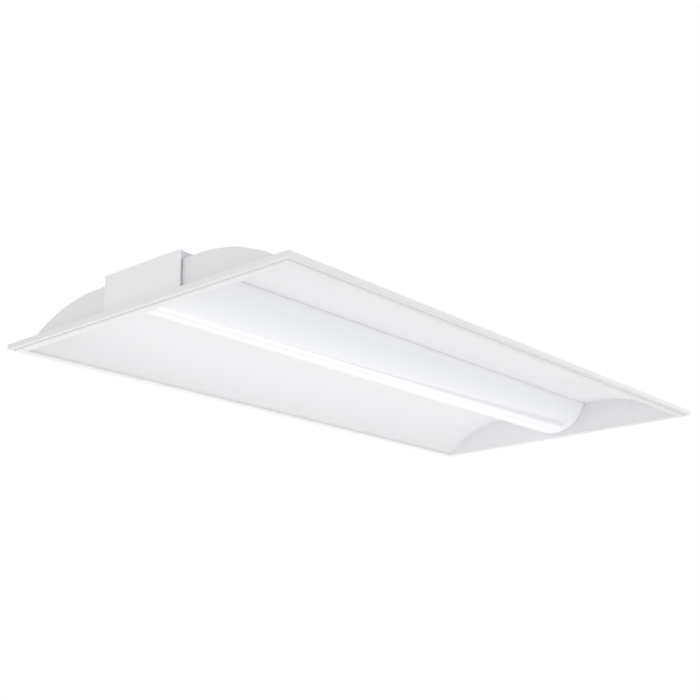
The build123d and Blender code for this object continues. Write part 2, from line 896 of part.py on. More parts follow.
def conduit_plug():
    """Snap-in plug in the spare conduit hole."""
    place = (conduit_x, -conduit_spacing / 2)
    skirt_radius = conduit_radius - paint_gap
    low = (*place, channel_under - plug_sheet)
    seat = (*place, channel_top)
    lid = rod(conduit_radius + plug_lip, seat, (*place, channel_top + plug_sheet))
    return lid + (rod(skirt_radius, low, seat) - rod(skirt_radius - plug_sheet, low, seat))


# ---- Grid clips ----


def bracket_knee():
    """Where the bracket turns level, and its inner end, in Y and Z."""
    radius = arch_radius + sheet + paint_gap
    seat = Vector(clip_seat_y, arch_centre_z + radius * cos(clip_tilt))
    seat.X = arch_peak_y + radius * sin(clip_tilt)
    way = Vector(cos(clip_tilt), -sin(clip_tilt))
    return seat + way * clip_foot_half, seat - way * clip_foot_half


knee, heel = bracket_knee()
clip_y = knee.X + clip_bracket_reach - clip_pivot_edge
clip_z = knee.Y + clip_sheet + clip_gap  # underside of the clip


def clip_bracket():
    """Bracket on the back of the arch, with a level seat for the clip."""
    section = strip([(knee.X + clip_bracket_reach, knee.Y), (knee.X, knee.Y), (heel.X, heel.Y)], clip_sheet)
    bracket = along_x(section, clip_x - clip_bracket_width / 2, clip_x + clip_bracket_width / 2)
    place = (clip_x, clip_y)
    hole = rod(clip_pivot_radius + running_gap, (*place, knee.Y), (*place, knee.Y + clip_sheet))
    return bracket - hole


def grid_clip():
    """Swing-out arm that reaches over the ceiling grid, shown stowed along the light."""
    radius = clip_arm_width / 2
    place = (clip_x, clip_y)
    top = clip_z + clip_sheet
    plan = Pos(*place) * Circle(radius)
    tip_x = clip_x - clip_arm
    plan += Pos((tip_x + clip_x) / 2, clip_y) * Rectangle(clip_arm, clip_arm_width)
    clip = upright(plan, clip_z, top)
    clip += block((tip_x, tip_x + clip_sheet), (clip_y - radius, clip_y + radius), (clip_z - clip_tip, top))
    return clip - rod(clip_pivot_radius + running_gap, (*place, clip_z), (*place, top))


def clip_pivot():
    """Shouldered rivet that the clip turns on."""
    place = (clip_x, clip_y)
    head_z = clip_z + clip_sheet + clip_gap
    top = (*place, head_z + clip_head)
    low = (*place, knee.Y - clip_head)
    rivet = rod(clip_pivot_radius, low, top)
    rivet += rod(clip_head_radius, (*place, head_z), top)
    rivet += rod(clip_head_radius, low, (*place, knee.Y))
    return rivet


# ---- All sub-parts ----

left_panel = side_panel()
far_plate = end_plate()
far_bracket = end_bracket()
far_cover = end_cover()
far_cap = lens_end_cap()
far_board = led_board(1)
near_board = led_board(-1)
left_chips = led_chips()
left_wing = tray_wing()
far_left_clip = grid_clip()
red_lead = lamp_lead(0)
black_lead = lamp_lead(1)

nodes = {
    "side_panel_left": left_panel,
    "side_panel_right": other_side(left_panel),
    "end_plate_far": far_plate,
    "end_plate_near": other_end(far_plate),
    "driver_channel": driver_channel(),
    "end_bracket_far": far_bracket,
    "end_bracket_near": other_end(far_bracket),
    "end_cover_far": far_cover,
    "end_cover_near": other_end(far_cover),
    "channel_screws": channel_screws(),
    "lens": lens(),
    "lens_end_cap_far": far_cap,
    "lens_end_cap_near": other_end(far_cap),
    "lens_pivot_pins": lens_pivot_pins(),
    "lens_catch_studs": lens_catch_studs(),
    "lens_catches": lens_catches(),
    "led_tray": led_tray(),
    "tray_wing_left": left_wing,
    "tray_wing_right": other_side(left_wing),
    "tray_rivets": tray_rivets(),
    "led_board_left_far": far_board,
    "led_board_left_near": near_board,
    "led_board_right_far": other_side(far_board),
    "led_board_right_near": other_side(near_board),
    "led_chips_left": left_chips,
    "led_chips_right": [other_side(chip) for chip in left_chips],
    "board_connectors": board_connectors(),
    "driver": driver(),
    "driver_terminals": driver_terminals(),
    "driver_screws": driver_screws(),
    "line_lead": supply_lead(1),
    "neutral_lead": supply_lead(0),
    "ground_lead": supply_lead(-1),
    "wire_connectors": wire_connectors(),
    "ground_screw": ground_screw(),
    "ground_pigtail": ground_pigtail(),
    "lamp_leads_red": [red_lead, other_side(red_lead)],
    "lamp_leads_black": [black_lead, other_side(black_lead)],
    "lead_bushings": lead_bushings(),
    "access_cover": access_cover(),
    "cover_screw": screw(cover_screw_x, 0, cover_z + cover_plate, cover_screw_length),
    "cover_hinge_leaf": cover_hinge_leaf(),
    "cover_hinge_pin": cover_hinge_pin(),
    "conduit_plug": conduit_plug(),
    "clip_brackets": all_corners(clip_bracket()),
    "clip_pivots": all_corners(clip_pivot()),
    "grid_clip_far_left": far_left_clip,
    "grid_clip_far_right": other_side(far_left_clip),
    "grid_clip_near_left": other_end(far_left_clip),
    "grid_clip_near_right": other_end(other_side(far_left_clip)),
}

os.makedirs("parts", exist_ok=True)
for name, piece in nodes.items():
    shape = Compound(piece) if isinstance(piece, list) else piece
    export_step(shape, f"parts/{name}.step")
print("clip pivot at", round(clip_x, 3), round(clip_y, 3), "hinge at", hinge_x, hinge_z)
print("lens pivot at", round(pivot_y, 3), round(pivot_z, 3))
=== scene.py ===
from math import asin, atan2, cos, hypot, pi, radians, sin, sqrt

import bmesh
import bpy
from mathutils import Matrix, Vector


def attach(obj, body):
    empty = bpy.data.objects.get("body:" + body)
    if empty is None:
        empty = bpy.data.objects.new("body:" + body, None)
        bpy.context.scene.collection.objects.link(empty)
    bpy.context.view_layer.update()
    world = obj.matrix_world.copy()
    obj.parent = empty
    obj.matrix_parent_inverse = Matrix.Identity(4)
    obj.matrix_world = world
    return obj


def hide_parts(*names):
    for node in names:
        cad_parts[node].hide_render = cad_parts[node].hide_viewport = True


# Recessed troffer light. X along the light, Y across it, Z up into the ceiling, all in metres.

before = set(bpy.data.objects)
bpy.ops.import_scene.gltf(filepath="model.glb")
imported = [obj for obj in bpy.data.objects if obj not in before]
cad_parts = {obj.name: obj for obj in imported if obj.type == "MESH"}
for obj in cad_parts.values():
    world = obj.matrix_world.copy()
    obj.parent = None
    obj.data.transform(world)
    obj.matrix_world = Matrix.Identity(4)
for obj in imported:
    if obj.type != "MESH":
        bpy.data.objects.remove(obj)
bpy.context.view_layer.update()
scene = bpy.context.scene
print("frame loaded:", len(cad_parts), "nodes")

# The camera stands low at one corner and looks up under the light
cameraSetup = {
    "place": (-1.6241, -1.2313, -0.535),
    "forward": (0.7417, 0.6067, 0.2861),
    "right": (0.6378, -0.77, -0.0204),
    "lens": 59.749,
    "sensorWidth": 36.0,
    "farthest": 50.0,
}


def makeCamera(setup):
    data = bpy.data.cameras.new("camera")
    camera = bpy.data.objects.new("camera", data)
    scene.collection.objects.link(camera)
    forward = Vector(setup["forward"]).normalized()
    right = Vector(setup["right"])
    right = (right - forward * right.dot(forward)).normalized()
    turn = Matrix((right, right.cross(forward), -forward)).transposed().to_4x4()
    camera.matrix_world = Matrix.Translation(setup["place"]) @ turn
    data.lens = setup["lens"]
    data.sensor_width = setup["sensorWidth"]
    data.clip_end = setup["farthest"]
    scene.camera = camera


makeCamera(cameraSetup)
scene.view_settings.view_transform = "Standard"
print("camera placed")


# Shader helpers: a value that is a socket is linked, anything else is written on the input
def addNode(tree, kind, values=None, **settings):
    node = tree.nodes.new(kind)
    for name, value in settings.items():
        setattr(node, name, value)
    for name, value in (values or {}).items():
        if isinstance(value, bpy.types.NodeSocket):
            tree.links.new(value, node.inputs[name])
        else:
            node.inputs[name].default_value = value
    return node


# A finish's group puts out the same three values whichever finish it is
def newGroup(name, inputs):
    group = bpy.data.node_groups.new(name, "ShaderNodeTree")
    for label, start in inputs.items():
        kind = "NodeSocketColor" if isinstance(start, tuple) else "NodeSocketFloat"
        group.interface.new_socket(label, in_out="INPUT", socket_type=kind).default_value = start
    for label, kind in (("Color", "Color"), ("Roughness", "Float"), ("Normal", "Vector")):
        group.interface.new_socket(label, in_out="OUTPUT", socket_type="NodeSocket" + kind)
    return group, addNode(group, "NodeGroupInput").outputs, addNode(group, "NodeGroupOutput").inputs


def feed(group, result, color, rough, normal):
    for label, socket in (("Color", color), ("Roughness", rough), ("Normal", normal)):
        group.links.new(socket, result[label])


# The node's sockets 6 and 7 are its two colours, and its output 2 is their mixture
def mixColor(tree, factor, first, second):
    return addNode(tree, "ShaderNodeMix", {0: factor, 6: first, 7: second}, data_type="RGBA").outputs[2]


def mapRange(tree, value, start, end, low, high):
    values = {"Value": value, "From Min": start, "From Max": end, "To Min": low, "To Max": high}
    return addNode(tree, "ShaderNodeMapRange", values).outputs["Result"]


def calc(tree, operation, *values):
    return addNode(tree, "ShaderNodeMath", dict(enumerate(values)), operation=operation).outputs[0]


def coordinates(tree, scale=(1.0, 1.0, 1.0)):
    place = addNode(tree, "ShaderNodeTexCoord").outputs["Object"]
    return addNode(tree, "ShaderNodeMapping", {"Vector": place, "Scale": scale}).outputs["Vector"]


def noise(tree, place, scale, detail=2.0, output="Fac"):
    return addNode(tree, "ShaderNodeTexNoise", {"Vector": place, "Scale": scale, "Detail": detail}).outputs[output]


def bump(tree, height, depth):
    return addNode(tree, "ShaderNodeBump", {"Height": height, "Distance": depth}).outputs["Normal"]


# A colour made lighter and darker about itself where a value strays from a half
def vary(tree, color, value, contrast):
    strayed = calc(tree, "SUBTRACT", value, 0.5)
    light = calc(tree, "MULTIPLY_ADD", strayed, contrast, 1.0)
    return addNode(tree, "ShaderNodeHueSaturation", {"Color": color, "Value": light}).outputs["Color"]


# Paint: fine orange peel in the normal, and a faint cloudiness in colour and gloss
paintLook = {"cloudScale": 9.0, "cloudDetail": 4.0, "peelDetail": 2.0}


def makePaintGroup():
    inputs = {
        "Color": (0.8, 0.8, 0.8, 1.0),
        "Cloud": 0.02,
        "Rough": 0.4,
        "Rough Spread": 0.05,
        "Peel Scale": 700.0,
        "Peel Depth": 0.00004,
    }
    group, given, result = newGroup("paintSkin", inputs)
    place = coordinates(group)
    cloud = noise(group, place, paintLook["cloudScale"], paintLook["cloudDetail"])
    peel = noise(group, place, given["Peel Scale"], paintLook["peelDetail"])
    color = vary(group, given["Color"], cloud, given["Cloud"])
    spread = calc(group, "MULTIPLY", cloud, given["Rough Spread"])
    rough = calc(group, "ADD", spread, given["Rough"])
    feed(group, result, color, rough, bump(group, peel, given["Peel Depth"]))
    return group


# Zinc-coated sheet: flakes of different tone and gloss, and fine drawn lines along the coil
zincLook = {
    "warpScale": 60.0,
    "warpDetail": 3.0,
    "warpReach": 0.004,
    "dullFlakes": 0.12,
    "drawnLines": (3.0, 900.0, 900.0),
    "lineDetail": 3.0,
}


def makeZincGroup():
    inputs = {
        "Color": (0.6, 0.62, 0.65, 1.0),
        "Flake Scale": 110.0,
        "Flake Contrast": 0.12,
        "Rough": 0.34,
        "Grain Depth": 0.00002,
    }
    group, given, result = newGroup("zincSkin", inputs)
    place = coordinates(group)
    warp = noise(group, place, zincLook["warpScale"], zincLook["warpDetail"], "Color")
    reach = (zincLook["warpReach"],) * 3
    bent = addNode(group, "ShaderNodeVectorMath", {0: warp, 1: reach}, operation="MULTIPLY").outputs[0]
    bent = addNode(group, "ShaderNodeVectorMath", {0: bent, 1: place}, operation="ADD").outputs[0]
    flakes = addNode(group, "ShaderNodeTexVoronoi", {"Vector": bent, "Scale": given["Flake Scale"]})
    tone = addNode(group, "ShaderNodeSeparateColor", {"Color": flakes.outputs["Color"]}).outputs["Red"]
    color = vary(group, given["Color"], tone, given["Flake Contrast"])
    rough = calc(group, "MULTIPLY_ADD", tone, zincLook["dullFlakes"], given["Rough"])
    grain = noise(group, coordinates(group, zincLook["drawnLines"]), 1.0, zincLook["lineDetail"])
    feed(group, result, color, rough, bump(group, grain, given["Grain Depth"]))
    return group


paintSkin = makePaintGroup()
zincSkin = makeZincGroup()
materials = {}


def newMaterial(name, **constants):
    material = bpy.data.materials.new(name)
    material.use_nodes = True
    shader = material.node_tree.nodes["Principled BSDF"]
    for label, value in constants.items():
        shader.inputs[label.replace("_", " ")].default_value = value
    materials[name] = material
    return material.node_tree, shader


def groupMaterial(name, group, values, **constants):
    tree, shader = newMaterial(name, **constants)
    skin = addNode(tree, "ShaderNodeGroup", node_tree=group)
    for label, value in values.items():
        skin.inputs[label].default_value = value
    for label, socket in (("Color", "Base Color"), ("Roughness", "Roughness"), ("Normal", "Normal")):
        tree.links.new(skin.outputs[label], shader.inputs[socket])


def shade(red, green, blue):
    return (red, green, blue, 1.0)


# What each finish looks like: paints and plastics share one group, metals the other
paints = {
    "whitePaint": {"Color": shade(0.855, 0.857, 0.87), "Rough": 0.42, "Cloud": 0.02},
    "coverPaint": {"Color": shade(0.92, 0.92, 0.925), "Rough": 0.4, "Cloud": 0.03},
    "reflectorPaint": {"Color": shade(0.89, 0.89, 0.885), "Rough": 0.55, "Cloud": 0.02},
    "boardMask": {"Color": shade(0.84, 0.86, 0.83), "Rough": 0.38, "Cloud": 0.04, "Peel Scale": 300.0},
    "connectorNylon": {"Color": shade(0.78, 0.77, 0.72), "Rough": 0.35, "Cloud": 0.05},
    "connectorOrange": {"Color": shade(0.85, 0.27, 0.03), "Rough": 0.2, "Cloud": 0.06},
    "driverPaint": {"Color": shade(0.78, 0.78, 0.77), "Rough": 0.45, "Cloud": 0.04},
    "chipFrame": {"Color": shade(0.86, 0.85, 0.8), "Rough": 0.3, "Cloud": 0.03},
    "leadBlack": {"Color": shade(0.025, 0.025, 0.027), "Rough": 0.45, "Cloud": 0.2},
    "leadWhite": {"Color": shade(0.72, 0.72, 0.69), "Rough": 0.45, "Cloud": 0.1},
    "leadGreen": {"Color": shade(0.03, 0.26, 0.08), "Rough": 0.45, "Cloud": 0.15},
    "leadRed": {"Color": shade(0.45, 0.03, 0.02), "Rough": 0.45, "Cloud": 0.15},
    "groundGreen": {"Color": shade(0.05, 0.3, 0.1), "Rough": 0.3, "Cloud": 0.2},
    # near-black nylon of the bushings, also used for the port mouths as painted shade standing in for their holes
    "bushingNylonAndPortShade": {"Color": shade(0.03, 0.03, 0.032), "Rough": 0.5, "Cloud": 0.2},
}
metals = {
    "galvanisedSheet": {"Color": shade(0.56, 0.59, 0.62), "Rough": 0.36, "Flake Scale": 130.0},
    "zincPlate": {"Color": shade(0.68, 0.69, 0.7), "Rough": 0.24, "Flake Scale": 700.0, "Flake Contrast": 0.08},
    "springSteel": {"Color": shade(0.52, 0.53, 0.54), "Rough": 0.28, "Flake Scale": 900.0, "Flake Contrast": 0.06},
}
for name, values in paints.items():
    groupMaterial(name, paintSkin, values, Specular_IOR_Level=0.25)
for name, values in metals.items():
    groupMaterial(name, zincSkin, values, Metallic=1.0)


# Opal acrylic: milky and slightly cool, glossy, with faint lines from the extrusion die, and a faint painted glow in
# its own colour that brightens the unlit lens
opal = {
    # Emission_Strength is a painted glow: the lens is not lit, and the glow only brightens it
    "shader": {"Roughness": 0.04, "IOR": 1.49, "Emission_Strength": 0.08},
    "dark": shade(0.91, 0.921, 0.95),
    "pale": shade(0.922, 0.931, 0.957),
    "cloudScale": 5.0,
    "cloudDetail": 3.0,
    "dieLines": (0.3, 240.0, 240.0),
    "lineDepth": 0.000004,
}


def makeOpal():
    tree, shader = newMaterial("opalAcrylic", **opal["shader"])
    cloud = noise(tree, coordinates(tree), opal["cloudScale"], opal["cloudDetail"])
    color = mixColor(tree, cloud, opal["dark"], opal["pale"])
    tree.links.new(color, shader.inputs["Base Color"])
    # painted glow: the lens's own colour given out as light
    tree.links.new(color, shader.inputs["Emission Color"])
    lines = noise(tree, coordinates(tree, opal["dieLines"]), 1.0)
    tree.links.new(bump(tree, lines, opal["lineDepth"]), shader.inputs["Normal"])


# Phosphor grains in clear resin
phosphor = {
    "shader": {"Roughness": 0.2, "Coat_Weight": 0.5},
    "dark": shade(0.82, 0.58, 0.08),
    "pale": shade(0.95, 0.78, 0.25),
    "grainScale": 2500.0,
}


def makePhosphor():
    tree, shader = newMaterial("phosphor", **phosphor["shader"])
    grain = noise(tree, coordinates(tree), phosphor["grainScale"])
    tree.links.new(mixColor(tree, grain, phosphor["dark"], phosphor["pale"]), shader.inputs["Base Color"])


makeOpal()
makePhosphor()
print("materials made:", len(materials))

# CAD nodes that stay, by finish
nodeFinish = {
    "coverPaint": ["end_cover_far", "end_cover_near"],
    "reflectorPaint": ["led_tray", "tray_wing_left", "tray_wing_right"],
    "galvanisedSheet": [
        "driver_channel", "end_bracket_far", "end_bracket_near", "access_cover", "cover_hinge_leaf", "clip_brackets",
    ],
    "zincPlate": ["lens_pivot_pins", "lens_catch_studs", "cover_hinge_pin", "conduit_plug", "clip_pivots"],
    "springSteel": [
        "lens_catches", "grid_clip_far_left", "grid_clip_far_right", "grid_clip_near_left", "grid_clip_near_right",
    ],
    "opalAcrylic": ["lens_end_cap_far", "lens_end_cap_near"],
    "boardMask": ["led_board_left_far", "led_board_left_near", "led_board_right_far", "led_board_right_near"],
    "leadBlack": ["line_lead", "lamp_leads_black"],
    "leadWhite": ["neutral_lead"],
    "leadGreen": ["ground_lead", "ground_pigtail"],
    "leadRed": ["lamp_leads_red"],
    "bushingNylonAndPortShade": ["lead_bushings"],
}
for finish, names in nodeFinish.items():
    for name in names:
        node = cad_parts[name]
        node.data.materials.clear()
        node.data.materials.append(materials[finish])


# Distances below which two places count as one, and angles past which an edge is sharp or is rounded
hair = 0.00001
speck = 0.000001
sharpAngle = 32.0
bevelAngle = 50.0


def makeObject(name, mesh, finishes):
    data = bpy.data.meshes.new(name)
    mesh.to_mesh(data)
    mesh.free()
    for finish in finishes:
        data.materials.append(materials[finish])
    made = bpy.data.objects.new(name, data)
    scene.collection.objects.link(made)
    return made


def makePiece(name, mesh, finishes, body, replaced=()):
    piece = makeObject(name, mesh, finishes)
    piece.data.shade_smooth()
    piece.data.set_sharp_from_angle(angle=radians(sharpAngle))
    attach(piece, body)
    if replaced:
        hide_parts(*replaced)
    return piece


def thicken(piece, thickness):
    wall = piece.modifiers.new("wall", "SOLIDIFY")
    wall.thickness = thickness
    wall.offset = -1.0
    wall.use_even_offset = True
    return piece


def softenEdges(piece, width=0.00004):
    rounding = piece.modifiers.new("edges", "BEVEL")
    rounding.width = width
    rounding.segments = 2
    rounding.limit_method = "ANGLE"
    rounding.angle_limit = radians(bevelAngle)
    rounding.harden_normals = True
    return piece


def partsOf(found, kind):
    return [part for part in found if isinstance(part, kind)]


def lineTo(mesh, start, target):
    grown = bmesh.ops.extrude_vert_indiv(mesh, verts=[start])["verts"][0]
    grown.co = target
    return grown


def arcTo(mesh, start, centre, axis, angle, steps):
    turned = bmesh.ops.spin(mesh, geom=[start], cent=centre, axis=axis, angle=angle, steps=steps)
    return turned["geom_last"][0]


def drawOut(mesh, edges, way):
    grown = bmesh.ops.extrude_edge_only(mesh, edges=edges)["geom"]
    bmesh.ops.translate(mesh, vec=way, verts=partsOf(grown, bmesh.types.BMVert))
    return partsOf(grown, bmesh.types.BMEdge)


def fold(mesh, edges, radius, segments=4):
    bmesh.ops.bevel(
        mesh, geom=edges, offset=radius, affect="EDGES", segments=segments, profile=0.5, material=-1, clamp_overlap=True
    )


def trim(mesh, place, normal):
    geometry = mesh.verts[:] + mesh.edges[:] + mesh.faces[:]
    bmesh.ops.bisect_plane(mesh, geom=geometry, plane_co=place, plane_no=normal, clear_outer=True)


# Turns all faces so that the one nearest a place looks down
def faceDown(mesh, place):
    nearest = min(mesh.faces, key=lambda face: (face.calc_center_median() - Vector(place)).length)
    if nearest.normal.z > 0:
        bmesh.ops.reverse_faces(mesh, faces=mesh.faces[:])


def flip(mesh, axis, found=None):
    found = found or mesh.verts[:] + mesh.faces[:]
    way = [-1 if axis == n else 1 for n in range(3)]
    bmesh.ops.scale(mesh, vec=way, verts=partsOf(found, bmesh.types.BMVert))
    bmesh.ops.reverse_faces(mesh, faces=partsOf(found, bmesh.types.BMFace))


def addMirrored(mesh, axis, found):
    flip(mesh, axis, bmesh.ops.duplicate(mesh, geom=found)["geom"])


def joinInto(mesh, other):
    copy = bpy.data.meshes.new("joined")
    other.to_mesh(copy)
    other.free()
    mesh.from_mesh(copy)
    bpy.data.meshes.remove(copy)


# Long edges, along the axis, that pass through one of the corners of a bent sheet's profile
def foldsNear(mesh, corners, axis):
    found = []
    for edge in mesh.edges:
        one, other = (vert.co for vert in edge.verts)
        if abs(one[axis] - other[axis]) < 0.1:
            continue
        if any(hypot(one[1 - axis] - across, one.z - z) < hair for across, z in corners):
            found.append(edge)
    return found


# Painted housing: side panels in one bent sheet from lip to ledge, and the end plates between them
housing = {
    "halfLength": 0.6064,
    "halfWidth": 0.3016,
    "flangeWidth": 0.0215,
    "bandWidth": 0.0074,
    "bandStep": 0.0024,
    "lipTop": 0.0108,
    "sheet": 0.0008,
    "bend": 0.0012,
    "blendRadius": 0.002,
    "peakY": 0.111,
    "peakZ": 0.0611,
    "riserHeight": 0.0035,
    "slotEdge": 0.077,
    "ledgeWidth": 0.011,
    "ledgeZ": 0.07255,
    "mitreGap": 0.00001,
    "archSteps": 48,
    "blendSteps": 6,
    "panelWeld": 0.00002,
    "plateWeld": 0.00003,
    "webFoot": 0.0012,
    "channelHalf": 0.0812,
    "channelTop": 0.07415,
    "tabLength": 0.012,
    "tabWidth": 0.026,
    "tabPlaces": (0.132, 0.1847, 0.2374),
    "tabGap": 0.00005,
    "tabSteps": 8,
}
webX = housing["halfLength"] - housing["flangeWidth"]
riserY = housing["halfWidth"] - housing["flangeWidth"]
archSpan = riserY - housing["peakY"]
archDrop = housing["peakZ"] - housing["riserHeight"]
archRadius = (archSpan**2 + archDrop**2) / (2 * archDrop)
archCentre = (housing["peakY"], housing["peakZ"] - archRadius)
blendY = riserY - housing["blendRadius"]
blendZ = archCentre[1] + sqrt((archRadius - housing["blendRadius"]) ** 2 - (blendY - archCentre[0]) ** 2)
blendAngle = atan2(blendZ - archCentre[1], blendY - archCentre[0])


# The riser's blend and then the arch, up to its peak
def archTo(mesh, start, x):
    tip = arcTo(mesh, start, (x, blendY, blendZ), (1, 0, 0), blendAngle, housing["blendSteps"])
    return arcTo(mesh, tip, (x, *archCentre), (1, 0, 0), pi / 2 - blendAngle, housing["archSteps"])


def makeSidePanel(side):
    mesh = bmesh.new()
    x = -housing["halfLength"]
    edge = housing["halfWidth"]
    band = edge - housing["bandWidth"]
    slot = housing["slotEdge"]
    # mitred flange
    tip = mesh.verts.new((x, edge, housing["lipTop"]))
    for y, z in ((edge, housing["bandStep"]), (band, housing["bandStep"]), (band, 0), (riserY, 0)):
        tip = lineTo(mesh, tip, (x, y, z))
    drawOut(mesh, mesh.edges[:], (-2 * x, 0, 0))
    for end in (-1, 1):
        trim(mesh, (end * (housing["halfLength"] - housing["mitreGap"]), edge, 0), (end, -1, 0))
    # riser, arch, land and ledge, square between the end plates
    x = -webX + housing["mitreGap"]
    riser = bmesh.new()
    tip = riser.verts.new((x, riserY, 0))
    tip = archTo(riser, lineTo(riser, tip, (x, riserY, blendZ)), x)
    ledge = (slot - housing["ledgeWidth"], housing["ledgeZ"])
    for y, z in ((slot, housing["peakZ"]), (slot, housing["ledgeZ"]), ledge):
        tip = lineTo(riser, tip, (x, y, z))
    drawOut(riser, riser.edges[:], (-2 * x, 0, 0))
    joinInto(mesh, riser)
    bmesh.ops.remove_doubles(mesh, verts=mesh.verts[:], dist=housing["panelWeld"])
    corners = ((edge, housing["bandStep"]), (band, housing["bandStep"]), (band, 0), (riserY, 0),
               (slot, housing["peakZ"]), (slot, housing["ledgeZ"]))
    fold(mesh, foldsNear(mesh, corners, 0), housing["bend"])
    bmesh.ops.recalc_face_normals(mesh, faces=mesh.faces[:])
    faceDown(mesh, (0, (band + riserY) / 2, 0))
    if side < 0:
        flip(mesh, 1)
    word = "Left" if side > 0 else "Right"
    node = "side_panel_" + word.lower()
    piece = makePiece("sidePanel" + word, mesh, ["whitePaint"], "housing", [node])
    softenEdges(thicken(piece, housing["sheet"]))


def makeEndPlate(end):
    mesh = bmesh.new()
    edge = housing["halfLength"]
    band = edge - housing["bandWidth"]
    y = -housing["halfWidth"]
    tip = mesh.verts.new((edge, y, housing["lipTop"]))
    foot = (webX, housing["webFoot"])
    for x, z in ((edge, housing["bandStep"]), (band, housing["bandStep"]), (band, 0), (webX, 0), foot):
        tip = lineTo(mesh, tip, (x, y, z))
    drawOut(mesh, mesh.edges[:], (0, -2 * y, 0))
    for side in (-1, 1):
        trim(mesh, (edge - housing["mitreGap"], side * housing["halfWidth"], 0), (-1, side, 0))
    # the lip ends against the inside of the side panels' lips
    reach = housing["halfWidth"] - housing["sheet"] - housing["mitreGap"]
    for vert in mesh.verts:
        if abs(vert.co.x - edge) < hair and abs(vert.co.y) > reach:
            vert.co.y = reach if vert.co.y > 0 else -reach
    corners = ((edge, housing["bandStep"]), (band, housing["bandStep"]), (band, 0), (webX, 0))
    fold(mesh, foldsNear(mesh, corners, 1), housing["bend"])
    # the web above the fold, which follows the backs of both arches and the channel
    back = housing["sheet"]
    outer = riserY + back
    tip = mesh.verts.new((webX, 0, housing["webFoot"]))
    first = tip
    tip = lineTo(mesh, tip, (webX, riserY, housing["webFoot"]))
    tip = lineTo(mesh, tip, (webX, outer, housing["webFoot"]))
    tip = archTo(mesh, lineTo(mesh, tip, (webX, outer, blendZ)), webX)
    half, high = housing["channelHalf"], housing["channelTop"]
    for y, z in ((half, housing["peakZ"] + back), (half, high), (0, high)):
        tip = lineTo(mesh, tip, (webX, y, z))
    outline = [v for v in mesh.verts if abs(v.co.x - webX) < speck and v.co.z > housing["webFoot"] - speck]
    rim = [e for e in mesh.edges if all(v in outline for v in e.verts) and not e.link_faces]
    web = bmesh.ops.contextual_create(mesh, geom=rim + [mesh.edges.new((first, tip))])["faces"]
    addMirrored(mesh, 1, web)
    bmesh.ops.remove_doubles(mesh, verts=mesh.verts[:], dist=housing["plateWeld"])
    bmesh.ops.recalc_face_normals(mesh, faces=mesh.faces[:])
    faceDown(mesh, ((band + webX) / 2, 0, 0))
    if end < 0:
        flip(mesh, 0)
    word = "Far" if end > 0 else "Near"
    piece = makePiece("endPlate" + word, mesh, ["whitePaint"], "housing", ["end_plate_" + word.lower()])
    softenEdges(thicken(piece, housing["sheet"]))


# Tabs that the end plate turns in over the backs of the arches
def makeTabs(end):
    mesh = bmesh.new()
    radius = archRadius + housing["sheet"] + housing["tabGap"]
    x = webX - housing["tabLength"]
    for middle in housing["tabPlaces"]:
        turns = [asin((middle + step * housing["tabWidth"] / 2 - archCentre[0]) / radius) for step in (1, -1)]
        start = (x, archCentre[0] + radius * sin(turns[0]), archCentre[1] + radius * cos(turns[0]))
        tip = mesh.verts.new(start)
        arcTo(mesh, tip, (x, *archCentre), (1, 0, 0), turns[0] - turns[1], housing["tabSteps"])
    drawOut(mesh, mesh.edges[:], (housing["tabLength"], 0, 0))
    faceDown(mesh, (x, housing["tabPlaces"][0], housing["peakZ"]))
    addMirrored(mesh, 1, mesh.verts[:] + mesh.edges[:] + mesh.faces[:])
    if end < 0:
        flip(mesh, 0)
    word = "Far" if end > 0 else "Near"
    piece = makePiece("endPlateTabs" + word, mesh, ["whitePaint"], "housing")
    softenEdges(thicken(piece, housing["sheet"]))


for side in (1, -1):
    makeSidePanel(side)
for end in (1, -1):
    makeEndPlate(end)
    makeTabs(end)
print("housing made")

# Lens: a round trough with upright edges, hinged on the left
lens = {
    "halfLength": 0.5839,
    "radius": 0.080,
    "centreZ": 0.0881,
    "halfWidth": 0.0752,
    "top": 0.0661,
    "wall": 0.002,
    "rounding": 0.0002,
    "steps": 360,
}


def makeLens():
    mesh = bmesh.new()
    x = -lens["halfLength"]
    reach = asin(lens["halfWidth"] / lens["radius"])
    low = lens["centreZ"] - lens["radius"] * cos(reach)
    tip = mesh.verts.new((x, -lens["halfWidth"], lens["top"]))
    tip = lineTo(mesh, tip, (x, -lens["halfWidth"], low))
    tip = arcTo(mesh, tip, (x, 0, lens["centreZ"]), (1, 0, 0), 2 * reach, lens["steps"])
    tip = lineTo(mesh, tip, (x, lens["halfWidth"], lens["top"]))
    drawOut(mesh, mesh.edges[:], (-2 * x, 0, 0))
    faceDown(mesh, (0, 0, lens["centreZ"] - lens["radius"]))
    piece = makePiece("lensTrough", mesh, ["opalAcrylic"], "lens_assembly", ["lens"])
    softenEdges(thicken(piece, lens["wall"]), lens["rounding"])


makeLens()
print("lens made")


# Turned and boxed shapes that the small pieces are built from
def addBox(mesh, low, high, index=0, rounding=0.0):
    grown = bmesh.ops.create_cube(mesh, size=1.0)["verts"]
    bmesh.ops.scale(mesh, vec=[b - a for a, b in zip(low, high)], verts=grown)
    bmesh.ops.translate(mesh, vec=[(a + b) / 2 for a, b in zip(low, high)], verts=grown)
    faces = list(dict.fromkeys(face for vert in grown for face in vert.link_faces))
    for face in faces:
        face.material_index = index
    if rounding:
        fold(mesh, list(dict.fromkeys(edge for vert in grown for edge in vert.link_edges)), rounding, 3)
    return faces


